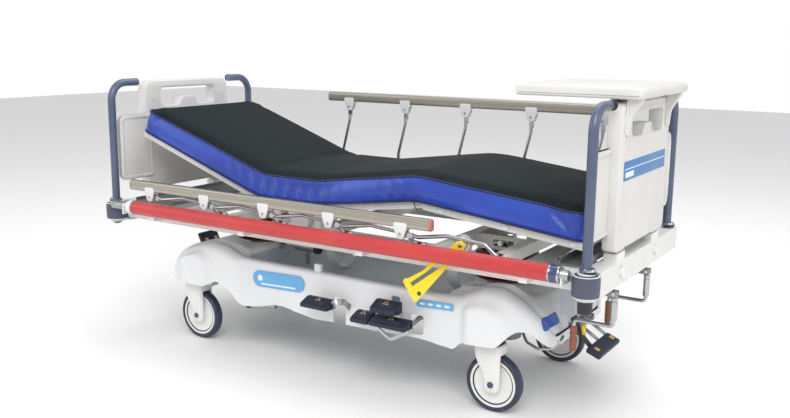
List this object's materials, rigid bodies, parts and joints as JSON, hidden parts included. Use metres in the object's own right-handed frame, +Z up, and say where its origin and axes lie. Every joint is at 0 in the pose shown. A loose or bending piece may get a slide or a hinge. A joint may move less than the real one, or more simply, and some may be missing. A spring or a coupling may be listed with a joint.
{
  "type": "stretcher trolley",
  "caption": "Hospital stretcher trolley with a hydraulic lift base, four-section deck and mattress, folding side rails, bumper tubes, push posts and a chart table.",
  "frame": {"origin": "bottom centre of the bounding box, on the floor under the middle of the overall length", "axes": "+X towards the foot end, +Y to the side whose rail is raised, +Z up"},
  "size_m": [2.169, 0.9638, 1.093],
  "materials": {
    "cover": "moulded, satin",
    "castor_shroud": "moulded, satin",
    "tyre": "matte",
    "steel": "powder coated",
    "frame_paint": "powder coated",
    "chrome": "polished",
    "bellows": "satin",
    "pedal": "moulded, satin",
    "post_paint": "powder coated",
    "bumper_rubber": "satin",
    "red_tube": "satin",
    "champagne": "anodised, brushed",
    "post_tube": "bright",
    "lever": "gloss",
    "mattress": "coated fabric, semi-gloss",
    "board": "blow moulded, satin",
    "dark_cover": "satin",
    "clip": "satin"
  },
  "bodies": {
    "base": {"base_cover": "cover", "base_chassis": "steel", "cylinder_clips": "clip", "head_bellows": "bellows", "foot_bellows": "bellows"},
    "castor_head_near": {"castor_fork_head_near": "castor_shroud"},
    "wheel_head_near": {"castor_wheel_head_near": "tyre"},
    "castor_head_far": {"castor_fork_head_far": "castor_shroud"},
    "wheel_head_far": {"castor_wheel_head_far": "tyre"},
    "castor_foot_near": {"castor_fork_foot_near": "castor_shroud"},
    "wheel_foot_near": {"castor_wheel_foot_near": "tyre"},
    "castor_foot_far": {"castor_fork_foot_far": "castor_shroud"},
    "wheel_foot_far": {"castor_wheel_foot_far": "tyre"},
    "head_ram": {"head_column_ram": "chrome"},
    "foot_ram": {"foot_column_ram": "chrome"},
    "foot_tilt": {"foot_tilt_ram": "chrome"},
    "frame": {"bed_frame": "frame_paint", "end_beams": "frame_paint", "foot_frame_cover": "dark_cover", "push_posts": "post_paint", "side_bumper_tubes": "red_tube", "bumper_carriers": "frame_paint", "mattress_seat": "mattress"},
    "roller_head": {"bumper_roller_head": "bumper_rubber"},
    "roller_foot": {"bumper_roller_foot": "bumper_rubber"},
    "back_section": {"back_section_frame": "frame_paint", "mattress_back": "mattress"},
    "thigh_section": {"thigh_section_frame": "frame_paint", "mattress_thigh": "mattress"},
    "leg_section": {"leg_section_frame": "frame_paint", "mattress_leg": "mattress"},
    "crank_back": {"crank_shaft_back": "steel"},
    "handle_back": {"crank_handle_back": "chrome"},
    "crank_knee": {"crank_shaft_knee": "steel"},
    "handle_knee": {"crank_handle_knee": "chrome"},
    "near_post_1": {"near_rail_post_1": "post_tube"},
    "near_post_2": {"near_rail_post_2": "post_tube"},
    "near_post_3": {"near_rail_post_3": "post_tube"},
    "near_post_4": {"near_rail_post_4": "post_tube"},
    "near_post_5": {"near_rail_post_5": "post_tube"},
    "near_handrail": {"near_top_rail": "champagne"},
    "near_lever": {"near_release_lever": "lever"},
    "far_post_1": {"far_rail_post_1": "post_tube"},
    "far_post_2": {"far_rail_post_2": "post_tube"},
    "far_post_3": {"far_rail_post_3": "post_tube"},
    "far_post_4": {"far_rail_post_4": "post_tube"},
    "far_post_5": {"far_rail_post_5": "post_tube"},
    "far_handrail": {"far_top_rail": "champagne"},
    "far_lever": {"far_release_lever": "lever"},
    "head_board": {"head_board": "board"},
    "foot_board": {"foot_board": "board"},
    "table": {"chart_table": "board"},
    "latch_near": {"board_latch_near": "frame_paint"},
    "latch_far": {"board_latch_far": "frame_paint"},
    "release_pedal": {"release_pedal": "pedal"},
    "pump_pedal": {"pump_pedal": "pedal"},
    "lower_head_pedal": {"lower_head_pedal": "pedal"},
    "lower_foot_pedal": {"lower_foot_pedal": "pedal"},
    "foot_brake": {"foot_brake_pedal": "pedal"},
    "head_brake": {"head_brake_pedal": "pedal"}
  },
  "joints": [
    {"name": "castor_swivel_head_near", "type": "hinge", "parent": "base", "child": "castor_head_near", "pos_m": [-0.714, -0.285, 0.2], "axis": [0, 0, 1], "continuous": true},
    {"name": "wheel_spin_head_near", "type": "hinge", "parent": "castor_head_near", "child": "wheel_head_near", "pos_m": [-0.696, -0.285, 0.1], "axis": [0, 1, 0], "continuous": true},
    {"name": "castor_swivel_head_far", "type": "hinge", "parent": "base", "child": "castor_head_far", "pos_m": [-0.714, 0.285, 0.2], "axis": [0, 0, 1], "continuous": true},
    {"name": "wheel_spin_head_far", "type": "hinge", "parent": "castor_head_far", "child": "wheel_head_far", "pos_m": [-0.696, 0.285, 0.1], "axis": [0, 1, 0], "continuous": true},
    {"name": "castor_swivel_foot_near", "type": "hinge", "parent": "base", "child": "castor_foot_near", "pos_m": [0.634, -0.285, 0.2], "axis": [0, 0, 1], "continuous": true},
    {"name": "wheel_spin_foot_near", "type": "hinge", "parent": "castor_foot_near", "child": "wheel_foot_near", "pos_m": [0.652, -0.285, 0.1], "axis": [0, 1, 0], "continuous": true},
    {"name": "castor_swivel_foot_far", "type": "hinge", "parent": "base", "child": "castor_foot_far", "pos_m": [0.634, 0.285, 0.2], "axis": [0, 0, 1], "continuous": true},
    {"name": "wheel_spin_foot_far", "type": "hinge", "parent": "castor_foot_far", "child": "wheel_foot_far", "pos_m": [0.652, 0.285, 0.1], "axis": [0, 1, 0], "continuous": true},
    {"name": "lift", "type": "slide", "parent": "base", "child": "head_ram", "axis": [0, 0, 1], "range_m": [0, 0.28], "deforming": ["head_bellows"]},
    {"name": "lift_foot", "type": "slide", "parent": "base", "child": "foot_ram", "axis": [0, 0, 1], "range_m": [0, 0.28], "deforming": ["foot_bellows"]},
    {"name": "trendelenburg", "type": "hinge", "parent": "head_ram", "child": "frame", "pos_m": [-0.592, 0, 0.52], "axis": [0, -1, 0], "range_deg": [0, 12]},
    {"name": "tilt_foot", "type": "slide", "parent": "foot_ram", "child": "foot_tilt", "axis": [0, 0, 1], "range_m": [0, 0.2419]},
    {"name": "bumper_roll_head", "type": "hinge", "parent": "frame", "child": "roller_head", "pos_m": [-1.042, -0.41, 0.517], "axis": [0, 0, 1], "continuous": true},
    {"name": "bumper_roll_foot", "type": "hinge", "parent": "frame", "child": "roller_foot", "pos_m": [0.998, -0.41, 0.517], "axis": [0, 0, 1], "continuous": true},
    {"name": "back_raise", "type": "hinge", "parent": "frame", "child": "back_section", "pos_m": [-0.252, 0, 0.604], "axis": [0, 1, 0], "range_deg": [-19, 50]},
    {"name": "knee_raise", "type": "hinge", "parent": "frame", "child": "thigh_section", "pos_m": [-0.062, 0, 0.62], "axis": [0, -1, 0], "range_deg": [-7.8, 22]},
    {"name": "leg_fold", "type": "hinge", "parent": "thigh_section", "child": "leg_section", "pos_m": [0.35798, 0, 0.67753], "axis": [0, -1, 0], "range_deg": [-37.27, 13.34]},
    {"name": "crank_turn_back", "type": "hinge", "parent": "frame", "child": "crank_back", "pos_m": [1.001, -0.215, 0.452], "axis": [1, 0, 0], "range_deg": [-15, 15]},
    {"name": "crank_unfold_back", "type": "hinge", "parent": "crank_back", "child": "handle_back", "pos_m": [1.023, -0.215, 0.452], "axis": [0, -1, 0], "range_deg": [0, 90]},
    {"name": "crank_turn_knee", "type": "hinge", "parent": "frame", "child": "crank_knee", "pos_m": [1.001, 0.118, 0.452], "axis": [1, 0, 0], "range_deg": [-15, 15]},
    {"name": "crank_unfold_knee", "type": "hinge", "parent": "crank_knee", "child": "handle_knee", "pos_m": [1.023, 0.118, 0.452], "axis": [0, -1, 0], "range_deg": [0, 90]},
    {"name": "near_rail_fold", "type": "hinge", "parent": "frame", "child": "near_post_1", "pos_m": [-0.447, -0.397, 0.562], "axis": [0, 1, 0], "range_deg": [0, 84]},
    {"name": "near_post_fold_2", "type": "hinge", "parent": "frame", "child": "near_post_2", "pos_m": [-0.15255, -0.397, 0.562], "axis": [0, 1, 0], "range_deg": [0, 84]},
    {"name": "near_post_fold_3", "type": "hinge", "parent": "frame", "child": "near_post_3", "pos_m": [0.1419, -0.397, 0.562], "axis": [0, 1, 0], "range_deg": [0, 84]},
    {"name": "near_post_fold_4", "type": "hinge", "parent": "frame", "child": "near_post_4", "pos_m": [0.43635, -0.397, 0.562], "axis": [0, 1, 0], "range_deg": [0, 84]},
    {"name": "near_post_fold_5", "type": "hinge", "parent": "frame", "child": "near_post_5", "pos_m": [0.7308, -0.397, 0.562], "axis": [0, 1, 0], "range_deg": [0, 84]},
    {"name": "near_rail_level", "type": "hinge", "parent": "near_post_1", "child": "near_handrail", "pos_m": [-0.811, -0.427, 0.60026], "axis": [0, 1, 0], "range_deg": [-84, 0]},
    {"name": "near_release", "type": "hinge", "parent": "frame", "child": "near_lever", "pos_m": [0.582, -0.421, 0.588], "axis": [0, 1, 0], "range_deg": [0, 15], "stiffness_Nm_per_rad": 4, "springref_deg": -20.05},
    {"name": "far_rail_fold", "type": "hinge", "parent": "frame", "child": "far_post_1", "pos_m": [-0.447, 0.397, 0.562], "axis": [0, -1, 0], "range_deg": [0, 84]},
    {"name": "far_post_fold_2", "type": "hinge", "parent": "frame", "child": "far_post_2", "pos_m": [-0.15255, 0.397, 0.562], "axis": [0, -1, 0], "range_deg": [0, 84]},
    {"name": "far_post_fold_3", "type": "hinge", "parent": "frame", "child": "far_post_3", "pos_m": [0.1419, 0.397, 0.562], "axis": [0, -1, 0], "range_deg": [0, 84]},
    {"name": "far_post_fold_4", "type": "hinge", "parent": "frame", "child": "far_post_4", "pos_m": [0.43635, 0.397, 0.562], "axis": [0, -1, 0], "range_deg": [0, 84]},
    {"name": "far_post_fold_5", "type": "hinge", "parent": "frame", "child": "far_post_5", "pos_m": [0.7308, 0.397, 0.562], "axis": [0, -1, 0], "range_deg": [0, 84]},
    {"name": "far_rail_level", "type": "hinge", "parent": "far_post_1", "child": "far_handrail", "pos_m": [-0.447, 0.427, 0.928], "axis": [0, -1, 0], "range_deg": [-84, 0]},
    {"name": "far_release", "type": "hinge", "parent": "frame", "child": "far_lever", "pos_m": [0.582, 0.421, 0.53], "axis": [0, 1, 0], "range_deg": [0, 15], "stiffness_Nm_per_rad": 4, "springref_deg": -20.05},
    {"name": "head_board_lift", "type": "slide", "parent": "frame", "child": "head_board", "axis": [0, 0, 1], "range_m": [0, 0.06]},
    {"name": "foot_board_lift", "type": "slide", "parent": "frame", "child": "foot_board", "axis": [0, 0, 1], "range_m": [0, 0.06]},
    {"name": "table_lift", "type": "slide", "parent": "foot_board", "child": "table", "axis": [0, 0, 1], "range_m": [0, 0.06]},
    {"name": "latch_turn_near", "type": "hinge", "parent": "frame", "child": "latch_near", "pos_m": [1.027, -0.18, 0.516], "axis": [1, 0, 0], "range_deg": [0, 90]},
    {"name": "latch_turn_far", "type": "hinge", "parent": "frame", "child": "latch_far", "pos_m": [1.027, 0.18, 0.516], "axis": [1, 0, 0], "range_deg": [0, 90]},
    {"name": "release_press", "type": "hinge", "parent": "base", "child": "release_pedal", "pos_m": [0.288, -0.235, 0.282], "axis": [1, 0, 0], "range_deg": [0, 15], "stiffness_Nm_per_rad": 8, "springref_deg": -20.05},
    {"name": "pump_press", "type": "hinge", "parent": "base", "child": "pump_pedal", "pos_m": [0.288, -0.235, 0.282], "axis": [1, 0, 0], "range_deg": [0, 4], "stiffness_Nm_per_rad": 8, "springref_deg": -20.05},
    {"name": "lower_head_press", "type": "hinge", "parent": "base", "child": "lower_head_pedal", "pos_m": [0.288, -0.235, 0.282], "axis": [1, 0, 0], "range_deg": [0, 15], "stiffness_Nm_per_rad": 8, "springref_deg": -20.05},
    {"name": "lower_foot_press", "type": "hinge", "parent": "base", "child": "lower_foot_pedal", "pos_m": [0.288, -0.235, 0.282], "axis": [1, 0, 0], "range_deg": [0, 15], "stiffness_Nm_per_rad": 8, "springref_deg": -20.05},
    {"name": "brake_rock", "type": "hinge", "parent": "base", "child": "foot_brake", "pos_m": [0.846, 0, 0.27], "axis": [0, 1, 0], "range_deg": [-12, 12]},
    {"name": "brake_rock_head", "type": "hinge", "parent": "base", "child": "head_brake", "pos_m": [-0.89, 0, 0.27], "axis": [0, 1, 0], "range_deg": [-12, 12]}
  ],
  "couplings": [
    {"joint": "lift_foot", "follows": "lift", "ratio": 1},
    {"joint": "tilt_foot", "follows": "trendelenburg", "m_per_rad": 1.15},
    {"joint": "leg_fold", "follows": "knee_raise", "ratio": -1.685},
    {"joint": "near_post_fold_2", "follows": "near_rail_fold", "ratio": 1},
    {"joint": "near_post_fold_3", "follows": "near_rail_fold", "ratio": 1},
    {"joint": "near_post_fold_4", "follows": "near_rail_fold", "ratio": 1},
    {"joint": "near_post_fold_5", "follows": "near_rail_fold", "ratio": 1},
    {"joint": "near_rail_level", "follows": "near_rail_fold", "ratio": -1},
    {"joint": "far_post_fold_2", "follows": "far_rail_fold", "ratio": 1},
    {"joint": "far_post_fold_3", "follows": "far_rail_fold", "ratio": 1},
    {"joint": "far_post_fold_4", "follows": "far_rail_fold", "ratio": 1},
    {"joint": "far_post_fold_5", "follows": "far_rail_fold", "ratio": 1},
    {"joint": "far_rail_level", "follows": "far_rail_fold", "ratio": -1},
    {"joint": "brake_rock_head", "follows": "brake_rock", "ratio": 1}
  ]
}
